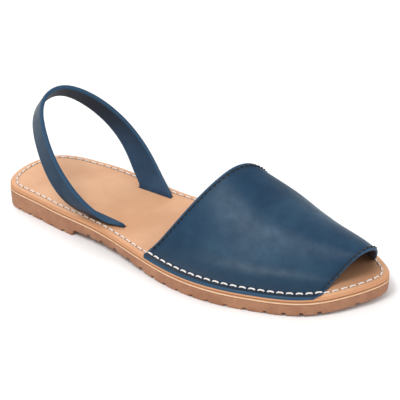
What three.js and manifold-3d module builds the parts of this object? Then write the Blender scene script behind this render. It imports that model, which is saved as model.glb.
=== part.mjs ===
import * as THREE from 'three';
import { mergeVertices } from 'three/addons/utils/BufferGeometryUtils.js';
import Module from 'manifold-3d';

// An avarca sandal for the right foot, standing empty on its sole.
// Millimetres, +X to the toe, +Y to the wearer's left (the inner side), +Z up.

// Sole and last
const soleLength = 250;
const ballWidth = 93;
const heelWidth = 62;
const toeSpring = 3;

// Rubber outsole
const heelRubber = 10.4;
const ballRubber = 7.2;
const toeRubber = 6.5;
const archRise = 3.9;
const heelBlockLength = 61;
const breastRun = 1.5;
const soleTuck = 1;
const soleTuckHeight = 0.8;
const grooveWidth = 2;
const grooveDepth = 1.3;
const groovePitch = 10.2;
const grooveWave = 2.2;
const waveLength = 28;

// Leather layers above the rubber
const midsoleThickness = 1.2;
const insoleThickness = 2.2;
const insoleBevel = 0.8;
const layerSetback = 0.2;

// Vamp
const vampThickness = 1.4;
const instepHeight = 46;
const footSetbackOuter = 7.3;
const footSetbackInner = 6;
const flangeMargin = 0.4;
const flangeBend = 1.2;

// Heel strap
const strapThickness = 2.6;
const strapWidth = 13.7;
const strapRise = 56;
const tabLength = 8;

// Clearance between touching pieces
const gap = 0.3;

// Outline of the sole. mid is the middle line as a share of ballWidth, and the half width is
// heel times heelWidth plus ball times ballWidth.
const outlineRows = [
  { at: 0.00, mid: 0.000, heel: 0.640, ball: 0.000 },
  { at: 0.08, mid: 0.017, heel: 0.497, ball: 0.000 },
  { at: 0.18, mid: -0.004, heel: 0.516, ball: 0.000 },
  { at: 0.32, mid: -0.053, heel: 0.300, ball: 0.156 },
  { at: 0.46, mid: -0.113, heel: 0.150, ball: 0.304 },
  { at: 0.60, mid: -0.113, heel: 0.000, ball: 0.496 },
  { at: 0.72, mid: -0.094, heel: 0.000, ball: 0.509 },
  { at: 0.84, mid: -0.089, heel: 0.000, ball: 0.440 },
  { at: 0.93, mid: -0.063, heel: 0.000, ball: 0.390 },
  { at: 1.00, mid: 0.000, heel: 0.000, ball: 0.277 },
];
// Shares of the length over which the heel and the toe are rounded off
const heelRoundShare = 0.13;
const toeRoundShare = 0.20;

// Stretches of the sole as shares of its length
const heelSeatShare = 0.18;
const ballStartShare = 0.62;
const archFromShare = 0.37;
const archToShare = 0.57;
const springFromShare = 0.72;
const treadFromShare = 0.063;
const treadToShare = 0.975;

// Where the vamp's foot starts and ends, as shares of the sole's length. The flange ends at
// flangeTo, and its outer edge is cut back from there by cutBack.
const vampFoot = {
  outer: { from: 0.489, to: 0.897, flangeTo: 0.911, cutBack: 0, side: -1, setback: footSetbackOuter },
  inner: { from: 0.616, to: 0.945, flangeTo: 0.945, cutBack: 0.02, side: 1, setback: footSetbackInner },
};
// Arch sections of the vamp from its rear edge to its front edge. height is a share of
// instepHeight. ridge, outerIn and innerIn are places across the arch, from the outer foot to
// the inner foot. outerUp and innerUp are shares of the section's height. lean is how far the
// section moves forward for each millimetre that it rises.
const vampRows = [
  { at: 0.00, height: 1.000, outerIn: 0.113, outerUp: 0.321, ridge: 0.458, innerIn: 0.824, innerUp: 0.752, lean: 0.377 },
  { at: 0.33, height: 0.743, outerIn: 0.146, outerUp: 0.326, ridge: 0.466, innerIn: 0.862, innerUp: 0.755, lean: 0.168 },
  { at: 0.67, height: 0.520, outerIn: 0.167, outerUp: 0.280, ridge: 0.451, innerIn: 0.802, innerUp: 0.815, lean: 0.347 },
  { at: 1.00, height: 0.352, outerIn: 0.240, outerUp: 0.214, ridge: 0.505, innerIn: 0.830, innerUp: 0.866, lean: 0.465 },
];
// Places along an arch of its outer shoulder, ridge and inner shoulder
const archKnots = [0, 0.27, 0.5, 0.73, 1];
const vampStations = 18;
const archSteps = 24;

// Upper edge of the heel strap, from the outer slit round the heel to the inner slit: along is
// a share of soleLength, across of heelWidth, up of strapRise over the insole. The lower edge
// lies back, over and down from it by shares of strapWidth.
const strapRows = [
  { at: 0.05, along: 0.347, across: -0.548, up: 0.057, back: -1.63, over: 0.21, down: 0.02 },
  { at: 0.10, along: 0.304, across: -0.590, up: 0.184, back: -1.37, over: 0.20, down: -0.15 },
  { at: 0.20, along: 0.218, across: -0.565, up: 0.517, back: -0.80, over: 0.18, down: -0.59 },
  { at: 0.30, along: 0.156, across: -0.427, up: 0.791, back: -0.57, over: 0.12, down: -0.82 },
  { at: 0.40, along: 0.110, across: -0.215, up: 0.934, back: -0.53, over: 0.07, down: -0.85 },
  { at: 0.50, along: 0.096, across: -0.006, up: 1.002, back: -0.64, over: 0.22, down: -0.74 },
  { at: 0.60, along: 0.118, across: 0.171, up: 1.009, back: -0.67, over: 0.35, down: -0.66 },
  { at: 0.70, along: 0.173, across: 0.334, up: 0.870, back: -0.71, over: 0.23, down: -0.67 },
  { at: 0.80, along: 0.239, across: 0.453, up: 0.602, back: -0.89, over: 0.01, down: -0.50 },
  { at: 0.90, along: 0.312, across: 0.432, up: 0.299, back: -1.26, over: -0.08, down: -0.21 },
  { at: 0.95, along: 0.351, across: 0.366, up: 0.145, back: -1.47, over: -0.06, down: -0.06 },
];
const strapSteps = 44;
// How the strap folds outward over the slit's lip: lift and shift are in strap thicknesses,
// turn is the angle of its outer face below the horizontal
const outerFold = [
  { lift: -0.1, shift: 0.00, turn: 0 },
  { lift: 0.42, shift: 0.16, turn: 35 },
  { lift: 0.75, shift: 0.60, turn: 68 },
];
const innerFold = [
  { lift: -0.1, shift: 0.00, turn: 0 },
  { lift: 0.50, shift: 0.15, turn: 24 },
];
// The slits that the strap comes up through, from their front end to their rear end
const slits = [
  { front: { along: 0.382, across: -0.465 }, rear: { along: 0.286, across: -0.410 }, outward: -1, folds: outerFold },
  { front: { along: 0.393, across: 0.268 }, rear: { along: 0.301, across: 0.273 }, outward: 1, folds: innerFold },
];

const lerp = THREE.MathUtils.lerp;
const clamp = THREE.MathUtils.clamp;

// Natural cubic curve through one column of a table
function curveThrough(places, values) {
  const last = places.length - 1;
  const spans = places.slice(1).map((place, i) => place - places[i]);
  const slopes = spans.map((span, i) => (values[i + 1] - values[i]) / span);
  const bends = new Array(last + 1).fill(0);
  const weights = new Array(last + 1).fill(0);
  for (let i = 1; i < last; i += 1) {
    const pivot = 2 * (spans[i - 1] + spans[i]) - spans[i - 1] * weights[i - 1];
    weights[i] = spans[i] / pivot;
    bends[i] = (6 * (slopes[i] - slopes[i - 1]) - spans[i - 1] * bends[i - 1]) / pivot;
  }
  for (let i = last - 1; i > 0; i -= 1) bends[i] -= weights[i] * bends[i + 1];
  return (place) => {
    let i = 0;
    while (i < last - 1 && place > places[i + 1]) i += 1;
    const b = (place - places[i]) / spans[i];
    const a = 1 - b;
    const bow = ((a ** 3 - a) * bends[i] + (b ** 3 - b) * bends[i + 1]) * spans[i] ** 2 / 6;
    return a * values[i] + b * values[i + 1] + bow;
  };
}

function column(rows, name) {
  return curveThrough(rows.map((row) => row.at), rows.map((row) => row[name]));
}

// Outline of the sole
const middleShare = column(outlineRows, 'mid');
const heelShare = column(outlineRows, 'heel');
const ballShare = column(outlineRows, 'ball');

function roundOff(at) {
  if (at < heelRoundShare) return Math.sqrt(Math.max(0, 1 - (1 - at / heelRoundShare) ** 2));
  if (at > 1 - toeRoundShare) return Math.sqrt(Math.max(0, 1 - ((at - 1 + toeRoundShare) / toeRoundShare) ** 2));
  return 1;
}

function edgePoint(at, side) {
  const half = (heelShare(at) * heelWidth + ballShare(at) * ballWidth) * roundOff(at);
  return new THREE.Vector2(at * soleLength, middleShare(at) * ballWidth + side * half);
}

// Unit vector in plan that points out of the sole at its edge
function edgeOutward(at, side) {
  const step = 0.002;
  const along = edgePoint(at + step, side).sub(edgePoint(at - step, side)).normalize();
  return new THREE.Vector2(-side * along.y, side * along.x);
}

// Stations along the sole, close together at both ends and at the heel breast
function soleStations() {
  const heelSteps = 9;
  const middleSteps = 17;
  const toeSteps = 11;
  const stations = [];
  for (let i = 0; i < heelSteps; i += 1) {
    stations.push(heelRoundShare * (1 - Math.cos((i / heelSteps) * Math.PI / 2)));
  }
  for (let i = 0; i < middleSteps; i += 1) {
    stations.push(lerp(heelRoundShare, 1 - toeRoundShare, i / middleSteps));
  }
  for (let i = 0; i <= toeSteps; i += 1) {
    stations.push(1 - toeRoundShare + toeRoundShare * Math.sin((i / toeSteps) * Math.PI / 2));
  }
  const breast = [heelBlockLength / soleLength, (heelBlockLength + breastRun) / soleLength];
  const room = 0.006;
  const kept = stations.filter((at) => breast.every((place) => Math.abs(at - place) > room));
  return kept.concat(breast).sort((a, b) => a - b);
}
const stations = soleStations();

// Heights of the sole along its length
function springAt(at) {
  return toeSpring * clamp((at - springFromShare) / (1 - springFromShare), 0, 1) ** 2;
}

function treadFace(at) {
  const breast = clamp((at * soleLength - heelBlockLength) / breastRun, 0, 1);
  const arch = archRise * (1 - THREE.MathUtils.smoothstep(at, archFromShare, archToShare));
  return springAt(at) + breast * arch;
}

function rubberTop(at) {
  const fall = THREE.MathUtils.smoothstep(at, heelSeatShare, ballStartShare);
  const tip = clamp((at - springFromShare) / (1 - springFromShare), 0, 1);
  return lerp(heelRubber, ballRubber, fall) + (toeRubber - ballRubber) * tip + springAt(at);
}

const midsoleBottom = (at) => rubberTop(at) + gap;
const midsoleTop = (at) => midsoleBottom(at) + midsoleThickness;
const insoleBottom = (at) => midsoleTop(at) + gap;
const insoleTop = (at) => insoleBottom(at) + insoleThickness;

// Meshes
function meshGeometry(points, triangles) {
  const geometry = new THREE.BufferGeometry();
  const flat = points.flatMap((point) => [point.x, point.y, point.z]);
  geometry.setAttribute('position', new THREE.Float32BufferAttribute(flat, 3));
  geometry.setIndex(triangles.flat());
  return geometry;
}

// The edge of the sole as one ring of points, anticlockwise from the heel's tip seen from above
function edgeRing(setback, height) {
  const points = [];
  const add = (at, side) => {
    const place = edgePoint(at, side);
    const tip = at === 0 || at === 1;
    const outward = tip ? new THREE.Vector2(at === 0 ? -1 : 1, 0) : edgeOutward(at, side);
    place.addScaledVector(outward, -setback);
    points.push(new THREE.Vector3(place.x, place.y, height(at)));
  };
  stations.forEach((at) => add(at, -1));
  stations.slice(1, -1).reverse().forEach((at) => add(at, 1));
  return points;
}

// A layer of the sole: rings from the bottom up, closed by a bottom and a top face
function soleLayer(rings) {
  const count = rings[0].length;
  const half = count / 2;
  const triangles = [];
  for (let k = 0; k < rings.length - 1; k += 1) {
    for (let j = 0; j < count; j += 1) {
      const low = k * count;
      const next = (j + 1) % count;
      triangles.push([low + j, low + next, low + count + next]);
      triangles.push([low + j, low + count + next, low + count + j]);
    }
  }
  const face = (base, up) => {
    const add = (a, b, c) => triangles.push(up ? [base + a, base + b, base + c] : [base + a, base + c, base + b]);
    add(0, 1, count - 1);
    for (let j = 1; j < half - 1; j += 1) {
      add(j, j + 1, count - j - 1);
      add(j, count - j - 1, count - j);
    }
    add(half - 1, half, half + 1);
  };
  face(0, false);
  face((rings.length - 1) * count, true);
  return meshGeometry(rings.flat(), triangles);
}

// Loft through closed sections of equal, even point count. Each end is closed by a strip between
// the first half of its points and the second half.
function loft(sections) {
  const count = sections[0].length;
  const triangles = [];
  for (let k = 0; k < sections.length - 1; k += 1) {
    for (let j = 0; j < count; j += 1) {
      const here = k * count;
      const next = (j + 1) % count;
      triangles.push([here + j, here + next, here + count + next]);
      triangles.push([here + j, here + count + next, here + count + j]);
    }
  }
  const end = (sections.length - 1) * count;
  for (let j = 0; j < count / 2 - 1; j += 1) {
    const back = count - 1 - j;
    triangles.push([j, back, j + 1], [j + 1, back, back - 1]);
    triangles.push([end + j, end + j + 1, end + back], [end + j + 1, end + back - 1, end + back]);
  }
  return meshGeometry(sections.flat(), triangles);
}

// Prism over a plan outline, between two heights that follow the sole's length
function slab(plan, low, high) {
  const bottom = plan.map((place) => new THREE.Vector3(place.x, place.y, low(place.x / soleLength)));
  const top = plan.map((place) => new THREE.Vector3(place.x, place.y, high(place.x / soleLength)));
  return loft([bottom, top]);
}

// Joining and cutting
const wasm = await Module();
wasm.setup();

function toSolid(geometry) {
  const bare = geometry.clone();
  bare.deleteAttribute('normal');
  bare.deleteAttribute('uv');
  const merged = mergeVertices(bare, 1e-4);
  return new wasm.Manifold(new wasm.Mesh({
    numProp: 3,
    vertProperties: new Float32Array(merged.attributes.position.array),
    triVerts: new Uint32Array(merged.index.array),
  }));
}

function toGeometry(solid) {
  const mesh = solid.getMesh();
  const geometry = new THREE.BufferGeometry();
  geometry.setAttribute('position', new THREE.BufferAttribute(new Float32Array(mesh.vertProperties), 3));
  geometry.setIndex(new THREE.BufferAttribute(new Uint32Array(mesh.triVerts), 1));
  return geometry;
}

function cutAway(geometry, cutters) {
  return toGeometry(cutters.reduce((solid, cutter) => solid.subtract(toSolid(cutter)), toSolid(geometry)));
}

// One groove of the tread: a wavy bar across the whole sole
function grooveCutter(at) {
  const reach = ballWidth;
  const steps = Math.round((2 * reach) / (waveLength / 4));
  const front = [];
  const rear = [];
  for (let i = 0; i <= steps; i += 1) {
    const y = lerp(-reach, reach, i / steps);
    const x = at * soleLength + grooveWave * Math.sin((y / waveLength) * 2 * Math.PI);
    front.push(new THREE.Vector2(x + grooveWidth / 2, y));
    rear.unshift(new THREE.Vector2(x - grooveWidth / 2, y));
  }
  const below = -archRise;
  return slabBetween(front.concat(rear), below, treadFace(at) + grooveDepth);
}

// Level prism over a plan outline of any form
function slabBetween(plan, low, high) {
  const bar = new THREE.ExtrudeGeometry(new THREE.Shape(plan), { depth: high - low, bevelEnabled: false });
  return bar.translate(0, 0, low);
}

function outsoleGeometry() {
  const body = soleLayer([
    edgeRing(soleTuck, treadFace),
    edgeRing(soleTuck / 2, (at) => treadFace(at) + soleTuckHeight),
    edgeRing(0, rubberTop),
  ]);
  const cutters = [];
  const breast = (heelBlockLength + breastRun) / soleLength;
  const pitch = groovePitch / soleLength;
  for (let at = treadFromShare; at < treadToShare; at += pitch) {
    const nearBreast = Math.abs(at - breast) < pitch / 2;
    if (!nearBreast) cutters.push(grooveCutter(at));
  }
  return cutAway(body, cutters);
}

// Ends of a slit and the directions along it and out of it towards the sole's edge
function slitFrame(slit) {
  const front = new THREE.Vector2(slit.front.along * soleLength, slit.front.across * heelWidth);
  const rear = new THREE.Vector2(slit.rear.along * soleLength, slit.rear.across * heelWidth);
  const along = front.clone().sub(rear).normalize();
  const out = new THREE.Vector2(-along.y, along.x).multiplyScalar(slit.outward);
  return { front, rear, along, out };
}

// Plan outline round a slit: reach is how far it runs past each end, inward and outward how far
// it lies to each side of the slit's middle line
function slitOutline(slit, reach, inward, outward) {
  const { front, rear, along, out } = slitFrame(slit);
  const corner = (end, past, side) => end.clone().addScaledVector(along, past).addScaledVector(out, side);
  const corners = [
    corner(rear, -reach, -inward),
    corner(front, reach, -inward),
    corner(front, reach, outward),
    corner(rear, -reach, outward),
  ];
  return THREE.ShapeUtils.isClockWise(corners) ? corners.reverse() : corners;
}

function midsoleGeometry() {
  const sheet = soleLayer([edgeRing(layerSetback, midsoleBottom), edgeRing(layerSetback, midsoleTop)]);
  const low = (at) => midsoleBottom(at) - gap / 2;
  const high = (at) => midsoleTop(at) + gap / 2;
  const side = strapThickness / 2 + gap;
  return cutAway(sheet, slits.map((slit) => slab(slitOutline(slit, gap, tabLength + gap, side), low, high)));
}

function insoleGeometry() {
  const sheet = soleLayer([
    edgeRing(layerSetback, insoleBottom),
    edgeRing(layerSetback, (at) => insoleTop(at) - insoleBevel),
    edgeRing(layerSetback + insoleBevel, insoleTop),
  ]);
  const low = (at) => insoleBottom(at) - gap / 2;
  const high = (at) => insoleTop(at) + gap / 2;
  const side = strapThickness / 2 + gap;
  return cutAway(sheet, slits.map((slit) => slab(slitOutline(slit, gap, side, side), low, high)));
}

// Vamp
const archTable = {};
['height', 'outerIn', 'outerUp', 'ridge', 'innerIn', 'innerUp', 'lean'].forEach((name) => {
  archTable[name] = column(vampRows, name);
});

// Station of the sole's outline beside which a line, set back from it, reaches a place along the sole
function footStation(line, place, setback) {
  const wanted = place * soleLength;
  let low = archFromShare;
  let high = 1;
  for (let i = 0; i < 30; i += 1) {
    const middle = (low + high) / 2;
    if (insetPlace(line, middle, setback).x < wanted) low = middle;
    else high = middle;
  }
  return low;
}

function insetPlace(line, at, setback) {
  return edgePoint(at, line.side).addScaledVector(edgeOutward(at, line.side), -setback);
}

function onInsole(place, lift) {
  return new THREE.Vector3(place.x, place.y, insoleTop(place.x / soleLength) + lift);
}

// The vamp's outer face at one station: its outer flange, the arch and its inner flange
function vampSection(t) {
  const value = (name) => archTable[name](t);
  const height = value('height') * instepHeight;
  const across = curveThrough(archKnots, [0, value('outerIn'), value('ridge'), value('innerIn'), 1]);
  const up = curveThrough(archKnots, [0, value('outerUp'), 1, value('innerUp'), 0]);
  const beside = (line, place, setback, lift) => {
    return onInsole(insetPlace(line, footStation(line, place, setback), setback), lift);
  };
  const [outerFoot, innerFoot] = [vampFoot.outer, vampFoot.inner].map((line) => {
    return beside(line, lerp(line.from, line.to, t), line.setback, 0);
  });
  const flangeLift = gap + vampThickness;
  const start = flangeLift + flangeBend;
  // Place along the arch where it has risen clear of the flange's bend
  const clearOf = (from, to) => {
    let low = from;
    let high = to;
    for (let i = 0; i < 30; i += 1) {
      const middle = (low + high) / 2;
      if (up(middle) * height < start) low = middle;
      else high = middle;
    }
    return high;
  };
  const first = clearOf(0, 0.5);
  const last = clearOf(1, 0.5);
  const flange = (line, setback) => {
    const back = line.cutBack * t ** 4 * (1 - setback / line.setback);
    return beside(line, lerp(line.from, line.flangeTo, t) - back, setback, flangeLift);
  };
  const points = [
    flange(vampFoot.outer, flangeMargin),
    flange(vampFoot.outer, footSetbackOuter - flangeBend),
  ];
  for (let i = 0; i <= archSteps; i += 1) {
    const place = lerp(first, last, i / archSteps);
    const rise = up(place) * height;
    const point = outerFoot.clone().lerp(innerFoot, across(place));
    points.push(point.add(new THREE.Vector3(value('lean') * rise, 0, rise)));
  }
  points.push(flange(vampFoot.inner, footSetbackInner - flangeBend));
  points.push(flange(vampFoot.inner, flangeMargin));
  return points;
}

// The same sheet moved in by its thickness, keeping that thickness round the bends
function innerFace(grid, thickness) {
  const at = (i, j) => grid[clamp(i, 0, grid.length - 1)][clamp(j, 0, grid[0].length - 1)];
  return grid.map((row, i) => row.map((point, j) => {
    const along = at(i + 1, j).clone().sub(at(i - 1, j));
    const sides = [[j - 1, j], [j, j + 1]].filter(([a, b]) => a >= 0 && b < row.length);
    const normals = sides.map(([a, b]) => row[b].clone().sub(row[a]).cross(along).normalize().negate());
    const normal = normals.reduce((sum, side) => sum.add(side), new THREE.Vector3()).normalize();
    const miter = Math.max(0.6, normal.dot(normals[0].normalize()));
    return point.clone().addScaledVector(normal, -thickness / miter);
  }));
}

function vampGeometry() {
  const outer = [];
  for (let i = 0; i <= vampStations; i += 1) outer.push(vampSection(i / vampStations));
  const inner = innerFace(outer, vampThickness);
  return loft(outer.map((row, i) => row.concat(inner[i].slice().reverse())).reverse());
}

// Heel strap
const strapTable = {};
['along', 'across', 'up', 'back', 'over', 'down'].forEach((name) => {
  strapTable[name] = column(strapRows, name);
});

function strapEdges(at) {
  const value = (name) => strapTable[name](at);
  const x = value('along') * soleLength;
  const upper = new THREE.Vector3(x, value('across') * heelWidth, insoleTop(x / soleLength) + value('up') * strapRise);
  const offset = new THREE.Vector3(value('back'), value('over'), value('down')).multiplyScalar(strapWidth);
  return { upper, lower: upper.clone().add(offset) };
}

// The strap's tab under the insole, its turn up into the slit and its fold over the slit's lip.
// face is the vector from the middle of the strap to its outer face.
function slitSections(slit) {
  const { front, rear, out } = slitFrame(slit);
  const half = strapThickness / 2;
  const section = (height, shift, face) => {
    const stand = (place) => {
      const moved = place.clone().addScaledVector(out, shift);
      return new THREE.Vector3(moved.x, moved.y, height(moved.x / soleLength));
    };
    return { upper: stand(front), lower: stand(rear), face };
  };
  const facing = (level, upright) => new THREE.Vector3(out.x * level, out.y * level, upright);
  const middle = (at) => (midsoleBottom(at) + midsoleTop(at)) / 2;
  const tabEnd = section(middle, -tabLength, facing(0, -midsoleThickness / 2));
  const turn = section(middle, 0, facing(half, -midsoleThickness / 2));
  const folds = slit.folds.map((fold) => {
    const angle = THREE.MathUtils.degToRad(fold.turn);
    const height = (at) => insoleTop(at) + fold.lift * strapThickness;
    return section(height, fold.shift * strapThickness, facing(half * Math.cos(angle), -half * Math.sin(angle)));
  });
  return [tabEnd, turn, ...folds];
}

function strapGeometry() {
  const from = strapRows[0].at;
  const to = strapRows[strapRows.length - 1].at;
  const loop = [];
  for (let i = 0; i <= strapSteps; i += 1) loop.push(strapEdges(lerp(from, to, i / strapSteps)));
  loop.forEach((edges, i) => {
    const before = loop[Math.max(i - 1, 0)];
    const after = loop[Math.min(i + 1, strapSteps)];
    const travel = after.upper.clone().add(after.lower).sub(before.upper).sub(before.lower);
    const width = edges.upper.clone().sub(edges.lower);
    edges.face = width.cross(travel).setLength(strapThickness / 2);
  });
  const outerEnd = slitSections(slits[0]);
  const innerEnd = slitSections(slits[1]).reverse();
  return loft([...outerEnd, ...loop, ...innerEnd].map(({ upper, lower, face }) => [
    upper.clone().add(face),
    upper.clone().sub(face),
    lower.clone().sub(face),
    lower.clone().add(face),
  ]));
}

// Materials
const rubber = new THREE.MeshStandardMaterial({ color: 0x9c6b4e, roughness: 0.85, metalness: 0 });
const board = new THREE.MeshStandardMaterial({ color: 0xe3b98c, roughness: 0.8, metalness: 0 });
const tan = new THREE.MeshStandardMaterial({ color: 0xe2b990, roughness: 0.6, metalness: 0 });
const navy = new THREE.MeshStandardMaterial({ color: 0x35506b, roughness: 0.55, metalness: 0 });

// The sandal, moved so that the middle of its footprint on the ground is the origin
const sandal = new THREE.Group();
const pieces = [
  ['outsole', outsoleGeometry(), rubber],
  ['midsole', midsoleGeometry(), board],
  ['insole', insoleGeometry(), tan],
  ['vamp', vampGeometry(), navy],
  ['heel_strap', strapGeometry(), navy],
];
pieces.forEach(([name, geometry, material]) => {
  const mesh = new THREE.Mesh(geometry, material);
  mesh.name = name;
  sandal.add(mesh);
});
const bounds = new THREE.Box3().setFromObject(sandal);
const centre = bounds.getCenter(new THREE.Vector3());
sandal.position.set(-centre.x, -centre.y, -bounds.min.z);

export default sandal;
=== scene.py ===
"""Looks of the sandal: a blue leather vamp and heel strap, stitched on a layered tan sole.

Sizes are in millimetres here and go into the meshes in metres. +X is to the toe, +Y to the wearer's left.
"""
import math

import bpy
import numpy as np
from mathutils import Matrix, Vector


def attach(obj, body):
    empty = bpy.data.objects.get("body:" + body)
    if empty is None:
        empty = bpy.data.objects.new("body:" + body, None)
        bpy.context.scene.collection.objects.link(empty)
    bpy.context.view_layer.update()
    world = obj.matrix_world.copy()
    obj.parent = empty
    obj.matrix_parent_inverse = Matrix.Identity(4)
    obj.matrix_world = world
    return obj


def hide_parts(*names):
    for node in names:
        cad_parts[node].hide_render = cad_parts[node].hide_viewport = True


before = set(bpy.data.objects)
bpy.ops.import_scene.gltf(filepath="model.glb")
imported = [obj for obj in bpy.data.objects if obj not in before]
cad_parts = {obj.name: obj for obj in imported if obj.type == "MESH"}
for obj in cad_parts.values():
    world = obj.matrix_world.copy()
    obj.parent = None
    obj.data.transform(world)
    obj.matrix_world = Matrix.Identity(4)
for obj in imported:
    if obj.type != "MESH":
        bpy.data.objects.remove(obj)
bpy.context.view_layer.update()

# Sizes of the sole and its layers
LENGTH, BALL, HEEL = 250.0, 93.0, 62.0
TOE_SPRING, SPRING_FROM = 3.0, 0.72
HEEL_RUBBER, BALL_RUBBER, TOE_RUBBER = 10.4, 7.2, 6.5
ARCH_RISE = 3.9
HEEL_BLOCK, BREAST_RUN = 61.0, 1.5
MIDSOLE, INSOLE = 1.2, 2.2
GAP = 0.3
INSOLE_LIFT = 2 * GAP + MIDSOLE + INSOLE

# Sizes of the upper
VAMP = 1.4
INSTEP = 46.0
FOOT_OUTER, FOOT_INNER = 7.3, 6.0
STRAP, STRAP_WIDTH, STRAP_RISE = 2.6, 13.7, 56.0
TAB = 8.0
FLANGE_WALL, RIM_BULGE = 0.9, 0.28

# Tread grooves: the first one, the share of the length where they end, and their wave. Then their depth and
# half widths at foot and roof, with what each grows by at the side of the sole.
GROOVE_FROM, GROOVE_TO_SHARE, GROOVE_PITCH = 15.8, 0.975, 10.2
GROOVE_WAVE, WAVE_LENGTH = 2.2, 28
GROOVE_DEPTH, DEPTH_FLARE = 1.3, 0.6
FOOT_HALF, FOOT_FLARE = 1.5, 0.4
ROOF_HALF, ROOF_FLARE = 0.9, 0.3

# Seams, and their stitches: pitch, length, radius of the thread and how deep it sinks in
SEAM_INSET = 4.2
EDGE_SEAM_INSET = 1.5
INSOLE_STITCH = (5.2, 3.9, 0.5, 0.08)
HOLE = (5.2, 1.1, 0.36, 0.26)
FLANGE_STITCH = (5.2, 4.0, 0.6, 0.1)
EDGE_STITCH = (3.3, 2.2, 0.46, 0.1)


def natural(places, values):
    """Natural cubic curve through a short table column, for numbers or arrays."""
    x, y = np.asarray(places, float), np.asarray(values, float)
    h = np.diff(x)
    n = len(x)
    a, b = np.eye(n), np.zeros(n)
    for i in range(1, n - 1):
        a[i, i - 1 : i + 2] = h[i - 1], 2 * (h[i - 1] + h[i]), h[i]
        b[i] = 6 * ((y[i + 1] - y[i]) / h[i] - (y[i] - y[i - 1]) / h[i - 1])
    m = np.linalg.solve(a, b)

    def curve(place):
        p = np.asarray(place, float)
        i = np.clip(np.searchsorted(x, p, side="right") - 1, 0, n - 2)
        t = (p - x[i]) / h[i]
        s = 1 - t
        return s * y[i] + t * y[i + 1] + ((s**3 - s) * m[i] + (t**3 - t) * m[i + 1]) * h[i] ** 2 / 6

    return curve


def smooth(value, low, high):
    """Eased step from 0 at low to 1 at high."""
    t = np.clip((np.asarray(value, float) - low) / (high - low), 0, 1)
    return t * t * (3 - 2 * t)


def unit(v):
    return v / np.maximum(np.linalg.norm(v, axis=-1, keepdims=True), 1e-9)


def run_along(rows):
    """Length run from the first point of each line to its others, the lines lying along the first axis."""
    step = np.linalg.norm(np.diff(rows, axis=0), axis=-1)
    return np.concatenate([np.zeros((1, *step.shape[1:])), np.cumsum(step, axis=0)])


# Outline of the sole: at, middle line, and half width as shares of heel and ball width
OUTLINE = np.array([
    (0.00, 0.000, 0.640, 0.000),
    (0.08, 0.017, 0.497, 0.000),
    (0.18, -0.004, 0.516, 0.000),
    (0.32, -0.053, 0.300, 0.156),
    (0.46, -0.113, 0.150, 0.304),
    (0.60, -0.113, 0.000, 0.496),
    (0.72, -0.094, 0.000, 0.509),
    (0.84, -0.089, 0.000, 0.440),
    (0.93, -0.063, 0.000, 0.390),
    (1.00, 0.000, 0.000, 0.277),
])
HEEL_ROUND, TOE_ROUND = 0.13, 0.20
mid_share, heel_share, ball_share = (natural(OUTLINE[:, 0], OUTLINE[:, k]) for k in (1, 2, 3))


def edge(at, side):
    """Plan of the sole's outline at shares of its length: side -1 is the outer side and 1 the inner."""
    at = np.asarray(at, float)
    round_off = np.where(
        at < HEEL_ROUND,
        np.sqrt(np.clip(1 - (1 - at / HEEL_ROUND) ** 2, 0, 1)),
        np.sqrt(np.clip(1 - (np.maximum(at - 1 + TOE_ROUND, 0) / TOE_ROUND) ** 2, 0, 1)),
    )
    half = (heel_share(at) * HEEL + ball_share(at) * BALL) * round_off
    return np.stack([at * LENGTH, mid_share(at) * BALL + side * half], -1)


def stations(heel, middle, toe):
    """Shares of the length, closer together where the ends are rounded."""
    a = np.linspace(0, math.pi / 2, heel)
    b = np.linspace(0, math.pi / 2, toe)
    return np.concatenate([
        HEEL_ROUND * (1 - np.cos(a[:-1])),
        np.linspace(HEEL_ROUND, 1 - TOE_ROUND, middle)[:-1],
        1 - TOE_ROUND + TOE_ROUND * np.sin(b),
    ])


AT = stations(heel=28, middle=170, toe=40)
RING_AT = np.concatenate([AT, AT[-2:0:-1]])
RING = np.concatenate([edge(AT, -1), edge(AT[-2:0:-1], 1)])
_along = unit(np.roll(RING, -1, 0) - np.roll(RING, 1, 0))
RING_OUT = np.stack([_along[:, 1], -_along[:, 0]], -1)
SHIFT = np.array([-LENGTH / 2, -(RING[:, 1].min() + RING[:, 1].max()) / 2, 0.0])


def spring(at):
    """Height of the toe spring."""
    return TOE_SPRING * np.clip((at - SPRING_FROM) / (1 - SPRING_FROM), 0, 1) ** 2


def tread_face(at):
    """Height of the sole's underside: heel block, raised waist, flat forefoot and toe spring."""
    breast = np.clip((at * LENGTH - HEEL_BLOCK) / BREAST_RUN, 0, 1)
    return spring(at) + breast * ARCH_RISE * (1 - smooth(at, 0.37, 0.57))


def rubber_top(at):
    tip = np.clip((at - SPRING_FROM) / (1 - SPRING_FROM), 0, 1)
    fall = smooth(at, 0.18, 0.62)
    return HEEL_RUBBER + (BALL_RUBBER - HEEL_RUBBER) * fall + (TOE_RUBBER - BALL_RUBBER) * tip + spring(at)


def insole_top(at):
    return rubber_top(at) + INSOLE_LIFT


def ring(inset, height):
    """One loop round the sole, inside its outline."""
    plan = RING - RING_OUT * inset
    return np.concatenate([plan, np.broadcast_to(height, len(RING))[:, None]], 1)


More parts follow.
